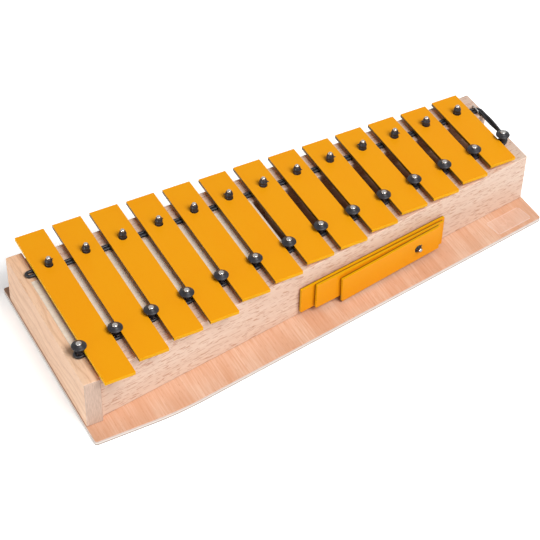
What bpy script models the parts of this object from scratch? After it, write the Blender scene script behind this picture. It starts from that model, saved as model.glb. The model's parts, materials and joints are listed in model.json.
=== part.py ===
# Diatonic alto glockenspiel with thirteen mounted tone bars and three spare bars on one stowage pin.
# Lengths are in metres. X runs along the row of bars, Y towards the back and Z up.
# The origin is at the middle of the base board's box, on its underside.

import math

import bmesh
import bpy
from mathutils import Matrix, Vector

mm = 0.001

# Fits
seat_gap = 0.3 * mm
pin_fit = 0.3 * mm
cut_overrun = 2.0 * mm

# Tone bars
bar_width = 25.0 * mm
bar_gap = 7.45 * mm
bar_thickness = 3.0 * mm
bar_edge_radius = 0.6 * mm
first_bar_length = 175.4 * mm
bar_hole_radius = 3.5 * mm
node_share = 0.224
scale_steps = [0, 2, 4, 5, 7, 9, 11, 12, 14, 16, 17, 19, 21]
spare_steps = [6, 10, 18]
tuning_trims = {2: 0.0, 4: 1.4 * mm, 5: 1.8 * mm, 7: -0.2 * mm, 11: 0.6 * mm, 19: -1.0 * mm, 21: -1.3 * mm,
                6: 3.0 * mm, 10: 2.5 * mm, 18: -0.9 * mm}
back_trims = [-0.4 * mm, 0.6 * mm, 0.8 * mm, 0.4 * mm, 0.3 * mm, -0.9 * mm, -0.1 * mm, -0.9 * mm, -0.9 * mm,
              -0.2 * mm, 0.0, -0.2 * mm, 1.3 * mm]
back_line_at_first = 2.2 * mm
back_line_fall = 5.5 * mm

# How far each straight pin row lies from the nodal points of its first and last bar
front_ease_first = 2.5 * mm
front_ease_last = 4.5 * mm
rear_ease_first = -1.8 * mm
rear_ease_last = 0.6 * mm
pivot_lead = 9.0 * mm

# Cord under the bars
cord_radius = 1.5 * mm
cord_spread = 3.25 * mm
cord_bend_radius = 3.6 * mm
cord_squeeze = 2.1 * mm
cord_bow = 0.05
cord_end_loop = 3.4 * mm
cord_loop_lead = 3.9 * mm
cord_loop_shift = 2.2 * mm
cord_loop_stretch = 1.6
cord_loop_flare = 1.05
cord_edge_margin = 1.35 * mm
cord_twists = 1

# Pins that hold the bars, with rubber sleeves at the back and rubber caps in front
shank_radius = 1.3 * mm
shank_depth = 16.0 * mm
rear_head_radius = 1.85 * mm
rear_head_height = 1.8 * mm
front_head_radius = 2.3 * mm
front_head_height = 1.2 * mm
head_rim_share = 0.25
head_dome_share = 0.8
head_dome_reach = 0.62
sleeve_height = 9.7 * mm
sleeve_foot_radius = 2.8 * mm
sleeve_top_radius = 2.3 * mm
cap_lift = 3.0 * mm
cap_rim_radius = 6.1 * mm
cap_rim_thickness = 1.3 * mm
cap_neck_radius = 2.4 * mm
cap_top_radius = 2.6 * mm
cap_cone_height = 1.4 * mm

# Resonator box
base_thickness = 4.4 * mm
rail_height = 46.4 * mm
board_edge_radius = 0.5 * mm
front_lip = 26.1 * mm
front_inner = 7.0 * mm
rear_lip = 23.1 * mm
rear_inner = 7.0 * mm
rail_left = 1.0 * mm
rail_right_margin = 14.5 * mm
end_board_thickness = 13.7 * mm
end_board_front_proud = 4.1 * mm
end_board_back_proud = 6.8 * mm
floor_thickness = 4.0 * mm
floor_top = 30.7 * mm
cover_thickness = 4.0 * mm
cover_ledge = 2.5 * mm
cover_left_ledge = 6.2 * mm
cover_bars = 6
cover_overrun = 1.5 * mm

# Base board
base_left_margin = 0.3 * mm
base_right_margin = 0.85 * mm
base_back_ledge = 21.7 * mm
base_front_ledge_left = 20.6 * mm
base_front_ledge_right = 29.1 * mm
base_bend_radius = 300.0 * mm
base_corner_radius = 2.0 * mm

# Staple that holds the cord at the right end of the rear rail
staple_wire_radius = 0.6 * mm
staple_leg = 8.0 * mm
staple_bend_radius = 0.9 * mm

# Spare bars on the front rail
stow_pin_along = 304.8 * mm
stow_pin_height = 17.7 * mm
stow_first_gap = 1.0 * mm
stow_pitch = 3.6 * mm
stow_sleeve_length = 12.8 * mm
stow_sleeve_radius = 2.8 * mm
stow_drop = 0.35 * mm
stow_tilts = [-0.2, -0.7, 1.8]

# Blank label on the base board
label_length = 37.0 * mm
label_width = 17.0 * mm
label_thickness = 0.3 * mm
label_corner_radius = 2.0 * mm
label_from_right = 26.5 * mm
label_from_rail = 16.5 * mm

# Sizes that follow from the ones above
pitch = bar_width + bar_gap
bar_count = len(scale_steps)
row_length = bar_count * pitch - bar_gap
rail_top = base_thickness + seat_gap + rail_height
cord_axis = rail_top + seat_gap + cord_radius
bar_bottom = cord_axis + cord_radius + seat_gap
bar_top = bar_bottom + bar_thickness
rail_right = row_length + rail_right_margin
end_board_right = rail_left - seat_gap
end_board_left = end_board_right - end_board_thickness
base_left = end_board_left - base_left_margin
base_right = rail_right + base_right_margin
cord_near = cord_radius + seat_gap / 2
cord_run_x = base_right - cord_near - cord_radius - cord_edge_margin
cap_underside = bar_top + cap_lift
cap_rim_top = cap_underside + cap_rim_thickness
cap_top = cap_rim_top + cap_cone_height
sleeve_top = bar_bottom + sleeve_height


def bar_length(step):
    return first_bar_length / 2 ** (step / 24) + tuning_trims.get(step, 0.0)


def bar_centre(index):
    return bar_width / 2 + pitch * index


def back_line(x):
    share = (x - bar_centre(0)) / (bar_centre(bar_count - 1) - bar_centre(0))
    return back_line_at_first - back_line_fall * share


first_x = bar_centre(0)
last_x = bar_centre(bar_count - 1)
last_bar_length = bar_length(scale_steps[-1])


def straight_row(y_first, y_last):
    slope = (y_last - y_first) / (last_x - first_x)
    return slope, lambda x: y_first + slope * (x - first_x)


front_slope, front_row = straight_row(
    back_line(first_x) - first_bar_length * (1 - node_share) + front_ease_first,
    back_line(last_x) - last_bar_length * (1 - node_share) + front_ease_last)
rear_slope, rear_row = straight_row(
    back_line(first_x) - first_bar_length * node_share + rear_ease_first,
    back_line(last_x) - last_bar_length * node_share + rear_ease_last)

front_pin_first = -bar_gap / 2
front_pin_count = bar_count + 1
row_angle = math.atan(front_slope)


def rail_face(x):
    return front_row(x) - front_lip


def rail_back(x):
    return rear_row(x) + rear_lip


def base_back(x):
    return rail_back(x) + base_back_ledge


def rounded_outline(corners, radii, steps):
    """Corner points in order, each replaced by an arc of its own radius."""
    points = []
    count = len(corners)
    for index in range(count):
        here = Vector(corners[index])
        back = (Vector(corners[index - 1]) - here).normalized()
        ahead = (Vector(corners[(index + 1) % count]) - here).normalized()
        radius = radii[index]
        if radius <= 0:
            points.append(here)
            continue
        half = back.angle(ahead) / 2
        centre = here + (back + ahead).normalized() * (radius / math.sin(half))
        start = here + back * (radius / math.tan(half)) - centre
        end = here + ahead * (radius / math.tan(half)) - centre
        turn = start.angle_signed(end)
        for step in range(steps + 1):
            angle = -turn * step / steps
            spin = Matrix.Rotation(angle, 2)
            points.append(centre + spin @ start)
    return points


base_front_left = rail_face(rail_left) - base_front_ledge_left
base_front_right = rail_face(rail_right) - base_front_ledge_right
bend_x = base_right - (base_front_right - base_front_left) / front_slope
base_outline = rounded_outline(
    [(base_left, base_back(base_left)),
     (base_left, base_front_left),
     (bend_x, base_front_left),
     (base_right, base_front_right),
     (base_right, base_back(base_right))],
    [base_corner_radius, base_corner_radius, base_bend_radius, base_corner_radius, base_corner_radius], 4)

# Scene and collections
for stale in list(bpy.data.objects):
    bpy.data.objects.remove(stale, do_unlink=True)
parts = bpy.data.collections.new('glockenspiel')
cutters = bpy.data.collections.new('cutters')
bpy.context.scene.collection.children.link(parts)
bpy.context.scene.collection.children.link(cutters)
middle_x = (min(p[0] for p in base_outline) + max(p[0] for p in base_outline)) / 2
middle_y = (min(p[1] for p in base_outline) + max(p[1] for p in base_outline)) / 2
datum = bpy.data.objects.new('bar_row_datum', None)
datum.location = (-middle_x, -middle_y, 0)
print('middle of the base board', round(middle_x * 1000, 3), round(middle_y * 1000, 3), 'mm from the datum')
parts.objects.link(datum)


def material(name, colour, roughness, metallic=0.0):
    made = bpy.data.materials.new(name)
    made.use_nodes = True
    shader = made.node_tree.nodes['Principled BSDF']
    shader.inputs['Base Color'].default_value = (*colour, 1)
    shader.inputs['Roughness'].default_value = roughness
    shader.inputs['Metallic'].default_value = metallic
    made.diffuse_color = (*colour, 1)
    return made


beech = material('beech', (0.72, 0.49, 0.36), 0.5)
beech_end = material('beech_end_board', (0.68, 0.45, 0.31), 0.5)
plywood = material('birch_plywood', (0.76, 0.42, 0.28), 0.5)
pale_plywood = material('pale_plywood', (0.82, 0.72, 0.58), 0.5)
floor_plywood = material('floor_plywood', (0.60, 0.38, 0.27), 0.6)
bar_paint = material('bar_paint', (0.92, 0.39, 0.01), 0.35)
steel = material('nail_steel', (0.75, 0.74, 0.72), 0.25, 1.0)
rubber = material('black_rubber', (0.03, 0.03, 0.035), 0.5)
clear_film = material('label_film', (0.85, 0.62, 0.48), 0.25)


def add_part(name, mesh, surface, location=(0, 0, 0), rotation=(0, 0, 0), cutter=False):
    made = bpy.data.objects.new(name, mesh)
    made.location = location
    made.rotation_euler = rotation
    made.parent = datum
    if cutter:
        cutters.objects.link(made)
        made.hide_render = True
        made.display_type = 'WIRE'
    else:
        parts.objects.link(made)
        if surface:
            mesh.materials.append(surface)
    return made


def box_mesh(name, low, high):
    mesh = bpy.data.meshes.new(name)
    cage = bmesh.new()
    bmesh.ops.create_cube(cage, size=1.0)
    size = [b - a for a, b in zip(low, high)]
    centre = [(a + b) / 2 for a, b in zip(low, high)]
    bmesh.ops.scale(cage, vec=size, verts=cage.verts)
    bmesh.ops.translate(cage, vec=centre, verts=cage.verts)
    cage.to_mesh(mesh)
    cage.free()
    return mesh


def board_mesh(name, outline, low, high):
    """A flat board from its plan outline, between two heights."""
    curve = bpy.data.curves.new(name, 'CURVE')
    curve.dimensions = '2D'
    curve.fill_mode = 'BOTH'
    curve.extrude = (high - low) / 2
    spline = curve.splines.new('POLY')
    spline.points.add(len(outline) - 1)
    for point, corner in zip(spline.points, outline):
        point.co = (corner[0], corner[1], 0, 1)
    spline.use_cyclic_u = True
    flat = bpy.data.objects.new(name, curve)
    bpy.context.scene.collection.objects.link(flat)
    bpy.context.view_layer.update()
    graph = bpy.context.evaluated_depsgraph_get()
    mesh = bpy.data.meshes.new_from_object(flat.evaluated_get(graph))
    bpy.data.objects.remove(flat, do_unlink=True)
    weld = bmesh.new()
    weld.from_mesh(mesh)
    bmesh.ops.remove_doubles(weld, verts=weld.verts, dist=0.00001)
    bmesh.ops.translate(weld, vec=(0, 0, (low + high) / 2), verts=weld.verts)
    weld.to_mesh(mesh)
    weld.free()
    mesh.name = name
    return mesh


def profile_mesh(name, points, closed=False):
    """A turned piece's outline at +X, running down its outer side."""
    mesh = bpy.data.meshes.new(name)
    edges = [(i, i + 1) for i in range(len(points) - 1)]
    if closed:
        edges.append((len(points) - 1, 0))
    mesh.from_pydata([(r, 0, z) for r, z in points], edges, [])
    return mesh


def head_dome(radius, height, under):
    """A nail head's outline from its crown down to its underside."""
    return [(0, under + height), (radius * head_dome_reach, under + height * head_dome_share),
            (radius, under + height * head_rim_share), (radius, under)]


def turn(piece, steps):
    screw = piece.modifiers.new('turned', 'SCREW')
    screw.axis = 'Z'
    screw.angle = 2 * math.pi
    screw.steps = steps
    screw.render_steps = steps
    screw.use_merge_vertices = True
    screw.merge_threshold = 0.00005
    return screw


def repeat(piece, count, slope):
    array = piece.modifiers.new('row', 'ARRAY')
    array.count = count
    array.use_relative_offset = False
    array.use_constant_offset = True
    array.constant_offset_displace = (pitch, pitch * slope, 0)
    array.use_merge_vertices = False
    return array


def soften(piece, width, segments):
    bevel = piece.modifiers.new('softened_edges', 'BEVEL')
    bevel.width = width
    bevel.segments = segments
    bevel.limit_method = 'ANGLE'
    return bevel


def cut(piece, cutter):
    boolean = piece.modifiers.new('cut_' + cutter.name, 'BOOLEAN')
    boolean.operation = 'DIFFERENCE'
    boolean.object = cutter
    boolean.solver = 'EXACT'
    return boolean


def round_mesh(name, radius, low, high, sides):
    mesh = bpy.data.meshes.new(name)
    cage = bmesh.new()
    bmesh.ops.create_cone(cage, cap_ends=True, segments=sides, radius1=radius, radius2=radius,
                          depth=high - low)
    bmesh.ops.translate(cage, vec=(0, 0, (low + high) / 2), verts=cage.verts)
    cage.to_mesh(mesh)
    cage.free()
    return mesh


# Base board
add_part('base_board', board_mesh('base_board', base_outline, 0, base_thickness), plywood)

# Cutters for the cover's rebate, the nail bores and the staple
cover_right = pitch * cover_bars - bar_gap / 2 + cover_overrun
cover_left = end_board_right - cover_left_ledge
cover_inset = front_inner - cover_ledge


def cover_outline(clearance):
    left = cover_left - clearance
    right = cover_right + clearance
    ahead = cover_inset - clearance
    return [(left, rear_row(left) - ahead), (left, front_row(left) + ahead),
            (right, front_row(right) + ahead), (right, rear_row(right) - ahead)]


cover_bottom = rail_top - cover_thickness
rebate_mesh = board_mesh('rebate_cutter', cover_outline(seat_gap), cover_bottom - seat_gap,
                         rail_top + cut_overrun)
rebate = add_part('rebate_cutter', rebate_mesh, None, cutter=True)

bore_floor = rail_top - shank_depth
bore_mesh = round_mesh('nail_bore', shank_radius + pin_fit, bore_floor - seat_gap, rail_top + cut_overrun, 8)
rear_bores = add_part('rear_bores', bore_mesh, None, (first_x, rear_row(first_x), 0), cutter=True)
repeat(rear_bores, bar_count, rear_slope)
front_bores = add_part('front_bores', bore_mesh, None,
                       (front_pin_first, front_row(front_pin_first), 0), cutter=True)
repeat(front_bores, front_pin_count, front_slope)

staple_x = cord_run_x - cord_bend_radius
staple_y = rear_row(staple_x)
staple_half = cord_near + cord_radius + 2 * seat_gap + staple_wire_radius
staple_bore_mesh = round_mesh('staple_bore', staple_wire_radius + pin_fit,
                              rail_top - staple_leg - seat_gap, rail_top + cut_overrun, 8)
staple_bores = add_part('staple_bores', staple_bore_mesh, None,
                        (staple_x, staple_y - staple_half, 0), cutter=True)
staple_pair = staple_bores.modifiers.new('pair', 'ARRAY')
staple_pair.count = 2
staple_pair.use_relative_offset = False
staple_pair.use_constant_offset = True
staple_pair.constant_offset_displace = (0, 2 * staple_half, 0)

# The stowage pin stands square on the front rail's outer face
face_run = Vector((rail_right - rail_left, rail_face(rail_right) - rail_face(rail_left), 0)).normalized()
face_out = Vector((face_run.y, -face_run.x, 0))
stow_foot = Vector((rail_left, rail_face(rail_left), base_thickness + stow_pin_height))
stow_foot = stow_foot + face_run * stow_pin_along
stow_turn = Matrix(((face_run.x, 0, face_out.x), (face_run.y, 0, face_out.y), (0, 1, 0)))
stow_rotation = stow_turn.to_euler()
stow_bore_mesh = round_mesh('stow_bore', shank_radius + pin_fit, -shank_depth - seat_gap, cut_overrun, 8)
stow_bore = add_part('stow_bore', stow_bore_mesh, None, stow_foot, stow_rotation, cutter=True)

# Front rail, with its inner face parallel to the front pins
front_outline = [(rail_left, front_row(rail_left) + front_inner), (rail_left, rail_face(rail_left)),
                 (rail_right, rail_face(rail_right)), (rail_right, front_row(rail_right) + front_inner)]
rail_foot = base_thickness + seat_gap
front_rail = add_part('front_rail', board_mesh('front_rail', front_outline, rail_foot, rail_top), beech)
soften(front_rail, board_edge_radius, 1)
for cutter in (rebate, front_bores, stow_bore):
    cut(front_rail, cutter)

# Rear rail
rear_outline = [(rail_left, rail_back(rail_left)), (rail_left, rear_row(rail_left) - rear_inner),
                (rail_right, rear_row(rail_right) - rear_inner), (rail_right, rail_back(rail_right))]
rear_rail = add_part('rear_rail', board_mesh('rear_rail', rear_outline, rail_foot, rail_top), beech)
soften(rear_rail, board_edge_radius, 1)
for cutter in (rebate, rear_bores, staple_bores):
    cut(rear_rail, cutter)

# End board across the left ends of both rails
end_board = add_part('end_board', box_mesh(
    'end_board', (end_board_left, rail_face(rail_left) - end_board_front_proud, rail_foot),
    (end_board_right, rail_back(rail_left) + end_board_back_proud, rail_top)), beech_end)
soften(end_board, board_edge_radius, 1)
for cutter in (rebate, front_bores):
    cut(end_board, cutter)

# Floor of the resonator between the rails
floor_edge = front_inner + seat_gap
floor_outline = [(rail_left, rear_row(rail_left) - floor_edge),
                 (rail_left, front_row(rail_left) + floor_edge),
                 (rail_right, front_row(rail_right) + floor_edge),
                 (rail_right, rear_row(rail_right) - floor_edge)]
add_part('resonator_floor', board_mesh('resonator_floor', floor_outline,
                                       floor_top - floor_thickness, floor_top), floor_plywood)

# Cover board under the lower bars
add_part('cover_board', board_mesh('cover_board', cover_outline(0), cover_bottom, rail_top), pale_plywood)


# Rear pins: a nail whose domed head closes a tapered rubber sleeve
rear_head_under = sleeve_top
rear_head = head_dome(rear_head_radius, rear_head_height, rear_head_under)
rear_pin_mesh = profile_mesh('rear_pin', rear_head + [
    (sleeve_top_radius, sleeve_top), (sleeve_foot_radius, bar_bottom),
    (shank_radius, bar_bottom), (shank_radius, bore_floor), (0, bore_floor)])
rear_pin_mesh.materials.append(rubber)
for index in range(bar_count):
    x = bar_centre(index)
    pin = add_part('rear_pin_{:02d}'.format(index + 1), rear_pin_mesh, None, (x, rear_row(x), 0))
    turn(pin, 10)

# Front pins: a nail through a rubber cap whose rim reaches over the edges of two bars
front_head_under = cap_top
front_head = head_dome(front_head_radius, front_head_height, front_head_under)
front_pin_mesh = profile_mesh('front_pin', front_head + [
    (cap_top_radius, cap_top), (cap_rim_radius, cap_rim_top),
    (cap_rim_radius, cap_underside), (cap_neck_radius, cap_underside), (cap_neck_radius, bar_bottom),
    (shank_radius, bar_bottom), (shank_radius, bore_floor), (0, bore_floor)])
front_pin_mesh.materials.append(rubber)
for index in range(front_pin_count):
    x = front_pin_first + pitch * index
    pin = add_part('front_pin_{:02d}'.format(index + 1), front_pin_mesh, None, (x, front_row(x), 0))
    turn(pin, 12)

# Staple over the cord
crown = cord_axis + cord_radius + seat_gap + staple_wire_radius
staple_curve = bpy.data.curves.new('cord_staple', 'CURVE')
staple_curve.dimensions = '3D'
staple_curve.bevel_depth = staple_wire_radius
staple_curve.bevel_resolution = 2
staple_curve.use_fill_caps = True
staple_wire = staple_curve.splines.new('POLY')
staple_points = [(-staple_half, rail_top - staple_leg)]
for corner in (-1, 1):
    for step in range(4):
        angle = math.radians(30 * step)
        if corner < 0:
            side = -staple_half + (1 - math.cos(angle)) * staple_bend_radius
            up = crown - (1 - math.sin(angle)) * staple_bend_radius
        else:
            side = staple_half - (1 - math.sin(angle)) * staple_bend_radius
            up = crown - (1 - math.cos(angle)) * staple_bend_radius
        staple_points.append((side, up))
staple_points.append((staple_half, rail_top - staple_leg))
staple_wire.points.add(len(staple_points) - 1)
for point, (side, up) in zip(staple_wire.points, staple_points):
    point.co = (0, side, up, 1)
add_part('cord_staple', staple_curve, steel, (staple_x, staple_y, 0))


# Cord, one endless loop laid double along both pin rows and across the open right end
def pair_centre():
    """Centre line of the doubled cord as (x, y, half spacing, twist angle) from front left to rear left."""
    line = []
    spreads = (cord_spread, cord_squeeze, cord_near, cord_squeeze)
    for k in range(bar_count * 4 + 1):
        x = front_pin_first + pitch * k / 4
        shift = (0, -cord_bow, 0, cord_bow)[k % 4] * pitch
        line.append((x + shift, front_row(x + shift), spreads[k % 4], 0.0))
    start_x, start_y = line[-1][0], line[-1][1]
    run_x = cord_run_x
    bend = (run_x - start_x) / (1 - math.sin(row_angle))
    for step in range(1, 7):
        angle = row_angle + (math.pi / 2 - row_angle) * step / 6
        spread = cord_spread + (cord_near - cord_spread) * min(1, step / 4)
        line.append((start_x + bend * (math.sin(angle) - math.sin(row_angle)),
                     start_y + bend * (math.cos(row_angle) - math.cos(angle)), spread, 0.0))
    turn_y = rear_row(run_x - cord_bend_radius) - cord_bend_radius
    free_y = line[-1][1]
    twist_start = front_row(run_x) + front_inner + cord_radius
    twist_end = rear_row(run_x) - rear_inner - cord_radius
    for step in range(1, 17):
        y = free_y + (turn_y - free_y) * step / 17
        share = min(1, max(0, (y - twist_start) / (twist_end - twist_start)))
        share = share * share * (3 - 2 * share)
        line.append((run_x, y, cord_near, 2 * math.pi * cord_twists * share))
    for step in range(7):
        angle = math.pi / 2 * step / 6
        line.append((run_x - cord_bend_radius * (1 - math.cos(angle)),
                     turn_y + cord_bend_radius * math.sin(angle), cord_near, 2 * math.pi * cord_twists))
    for k in range((bar_count - 1) * 4 + 1):
        x = last_x - pitch * k / 4
        line.append((x, rear_row(x), spreads[k % 4], 2 * math.pi * cord_twists))
    return line


def cord_points():
    line = pair_centre()
    inner = []
    outer = []
    for index, (x, y, spread, twist) in enumerate(line):
        before = line[max(index - 1, 0)]
        after = line[min(index + 1, len(line) - 1)]
        way = Vector((after[0] - before[0], after[1] - before[1], 0)).normalized()
        side = Vector((-way.y, way.x, 0)) * math.cos(twist) + Vector((0, 0, math.sin(twist)))
        centre = Vector((x, y, cord_axis))
        inner.append(centre + side * spread)
        outer.append(centre - side * spread)
    # Loop past the first rear nail
    loop_x = end_board_right - cord_loop_lead
    loop_y = rear_row(loop_x) + cord_loop_shift
    reach = cord_end_loop * cord_loop_stretch
    flare = cord_end_loop * cord_loop_flare
    rear_loop = [Vector((loop_x + reach, loop_y - flare, cord_axis))]
    for step in range(9):
        angle = math.radians(-90 - 180 * step / 8)
        rear_loop.append(Vector((loop_x + cord_end_loop * math.cos(angle),
                                 loop_y + cord_end_loop * math.sin(angle), cord_axis)))
    rear_loop.append(Vector((loop_x + reach, loop_y + flare, cord_axis)))
    # Loop round the first front nail
    front_loop = []
    for step in range(1, 8):
        angle = row_angle - math.pi / 2 - math.pi * step / 8
        front_loop.append(Vector((front_pin_first + cord_spread * math.cos(angle),
                                  front_row(front_pin_first) + cord_spread * math.sin(angle), cord_axis)))
    return inner + rear_loop + list(reversed(outer)) + front_loop


cord_curve = bpy.data.curves.new('bar_cord', 'CURVE')
cord_curve.dimensions = '3D'
cord_curve.bevel_depth = cord_radius
cord_curve.bevel_resolution = 2
cord_route = cord_points()
cord_spline = cord_curve.splines.new('POLY')
cord_spline.points.add(len(cord_route) - 1)
for point, place in zip(cord_spline.points, cord_route):
    point.co = (*place, 1)
cord_spline.use_cyclic_u = True
add_part('bar_cord', cord_curve, rubber)
cord_length = sum((b - a).length for a, b in zip(cord_route, cord_route[1:] + cord_route[:1]))
print('cord length', round(cord_length * 1000, 1), 'mm')


# Tone bars, each with its origin on the line it tips about
def bar_mesh(name, front, back):
    return box_mesh(name, (-bar_width / 2, front, 0), (bar_width / 2, back, bar_thickness))


hole_mesh = round_mesh('bar_hole', bar_hole_radius / math.cos(math.pi / 14), -cut_overrun,
                      bar_thickness + cut_overrun, 14)
pivot_line_shift = pivot_lead / math.cos(row_angle)
letters = ['c5', 'd5', 'e5', 'f5', 'g5', 'a5', 'b5', 'c6', 'd6', 'e6', 'f6', 'g6', 'a6']
for index, step in enumerate(scale_steps):
    x = bar_centre(index)
    pivot_y = front_row(x) - pivot_line_shift
    back = back_line(x) + back_trims[index] - pivot_y
    name = 'bar_{:02d}_{}'.format(index + 1, letters[index])
    bar = add_part(name, bar_mesh(name, back - bar_length(step), back), bar_paint, (x, pivot_y, bar_bottom))
    soften(bar, bar_edge_radius, 2)
    hole = add_part(name + '_hole', hole_mesh, None, (x, rear_row(x), bar_bottom), cutter=True)
    cut(bar, hole)

# Spare bars, each with its origin on the stowage pin's axis and its long side along the rail
spare_names = ['spare_bar_f_sharp_5', 'spare_bar_b_flat_5', 'spare_bar_f_sharp_6']
for index, step in enumerate(spare_steps):
    length = bar_length(step)
    hole_from_end = length * node_share
    out = stow_first_gap + stow_pitch * index
    tilt = Matrix.Rotation(math.radians(stow_tilts[index]), 3, face_out)
    turn_bar = tilt @ Matrix((Vector((0, 0, -1)), face_run, face_out)).transposed()
    place = stow_foot + face_out * out
    mesh = bar_mesh(spare_names[index], hole_from_end - length, hole_from_end)
    mesh.transform(Matrix.Translation((stow_drop, 0, 0)))
    bar = add_part(spare_names[index], mesh, bar_paint, place, turn_bar.to_euler())
    soften(bar, bar_edge_radius, 2)
    hole = add_part(spare_names[index] + '_hole', hole_mesh, None,
                    place + turn_bar @ Vector((stow_drop, 0, 0)), turn_bar.to_euler(), cutter=True)
    cut(bar, hole)

# Stowage pin and its sleeve
stow_sleeve_end = seat_gap + stow_sleeve_length
stow_head = stow_sleeve_end + seat_gap
stow_profile = head_dome(rear_head_radius, rear_head_height, stow_head) + [
    (shank_radius, stow_head), (shank_radius, -shank_depth), (0, -shank_depth)]
stow_nail = add_part('stow_nail', profile_mesh('stow_nail', stow_profile), steel, stow_foot, stow_rotation)
turn(stow_nail, 10)
sleeve_bore = shank_radius + pin_fit
stow_sleeve = add_part('stow_sleeve', profile_mesh(
    'stow_sleeve', [(sleeve_bore, stow_sleeve_end), (stow_sleeve_radius, stow_sleeve_end),
                    (stow_sleeve_radius, seat_gap), (sleeve_bore, seat_gap)], closed=True),
    rubber, stow_foot, stow_rotation)
turn(stow_sleeve, 12)

# Blank label, square to the front rail
label_centre = Vector((rail_right - label_from_right, 0, 0))
label_centre.y = rail_face(label_centre.x) - label_from_rail
half_length = label_length / 2
half_width = label_width / 2
label_outline = rounded_outline(
    [(-half_length, half_width), (-half_length, -half_width), (half_length, -half_width),
     (half_length, half_width)], [label_corner_radius] * 4, 3)
label_foot = base_thickness + seat_gap
add_part('label', board_mesh('label', label_outline, label_foot, label_foot + label_thickness), clear_film,
         label_centre, (0, 0, math.atan2(face_run.y, face_run.x)))

for piece in parts.objects:
    if piece.type == 'MESH' and len(piece.data.polygons):
        piece.data.shade_smooth()
        piece.data.set_sharp_from_angle(angle=math.radians(35))
bpy.context.view_layer.update()
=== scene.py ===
import json
import math

import bmesh
import bpy
from mathutils import Matrix, Vector

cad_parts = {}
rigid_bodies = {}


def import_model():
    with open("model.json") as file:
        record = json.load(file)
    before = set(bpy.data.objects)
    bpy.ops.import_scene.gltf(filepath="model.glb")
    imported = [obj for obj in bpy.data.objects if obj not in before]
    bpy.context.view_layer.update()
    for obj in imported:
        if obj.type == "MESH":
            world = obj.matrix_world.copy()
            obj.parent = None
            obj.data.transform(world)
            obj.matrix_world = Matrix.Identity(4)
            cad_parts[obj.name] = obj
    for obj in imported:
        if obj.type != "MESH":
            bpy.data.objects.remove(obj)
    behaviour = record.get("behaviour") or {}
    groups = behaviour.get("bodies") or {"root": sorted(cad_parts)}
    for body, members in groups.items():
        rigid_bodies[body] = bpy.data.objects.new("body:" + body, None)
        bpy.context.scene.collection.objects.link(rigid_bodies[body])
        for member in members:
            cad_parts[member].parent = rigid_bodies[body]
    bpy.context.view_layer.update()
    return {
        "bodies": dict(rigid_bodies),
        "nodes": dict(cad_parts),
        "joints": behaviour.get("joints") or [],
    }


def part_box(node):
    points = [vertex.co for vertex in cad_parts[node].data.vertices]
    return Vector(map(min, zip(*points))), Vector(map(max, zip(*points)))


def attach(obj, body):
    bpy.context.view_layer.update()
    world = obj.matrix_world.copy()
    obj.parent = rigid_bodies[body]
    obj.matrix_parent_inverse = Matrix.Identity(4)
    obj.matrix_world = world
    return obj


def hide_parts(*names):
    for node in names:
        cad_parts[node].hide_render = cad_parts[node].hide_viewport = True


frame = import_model()
mm = 0.001
print('frame loaded with', len(frame['nodes']), 'nodes')

boxBody = 'resonator_box'
barBodies = sorted(name for name in frame['bodies'] if name.startswith('bar_'))
spareBodies = ['spare_bar_f_sharp_5', 'spare_bar_b_flat_5', 'spare_bar_f_sharp_6']
rearNodes = ['rear_pin_{:02d}'.format(k + 1) for k in range(len(barBodies))]
frontNodes = ['front_pin_{:02d}'.format(k + 1) for k in range(len(barBodies) + 1)]


# Node trees: a wire is one socket, a board is one tree

class Wire:
    def __init__(self, board, socket):
        self.board = board
        self.socket = socket

    def other(self, key):  # another output of the same node
        return Wire(self.board, self.socket.node.outputs[key])

    def math(self, operation, *values):
        return self.board.node('ShaderNodeMath', {'operation': operation}, [self, *values])

    def __add__(self, value):
        return self.math('ADD', value)

    def __sub__(self, value):
        return self.math('SUBTRACT', value)

    def __mul__(self, value):
        return self.math('MULTIPLY', value)

    def __pow__(self, value):
        return self.math('POWER', value)

    def __rsub__(self, value):
        return self.board.node('ShaderNodeMath', {'operation': 'SUBTRACT'}, [value, self])

    def __neg__(self):
        return self.math('MULTIPLY', -1.0)

    __radd__ = __add__
    __rmul__ = __mul__


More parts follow.
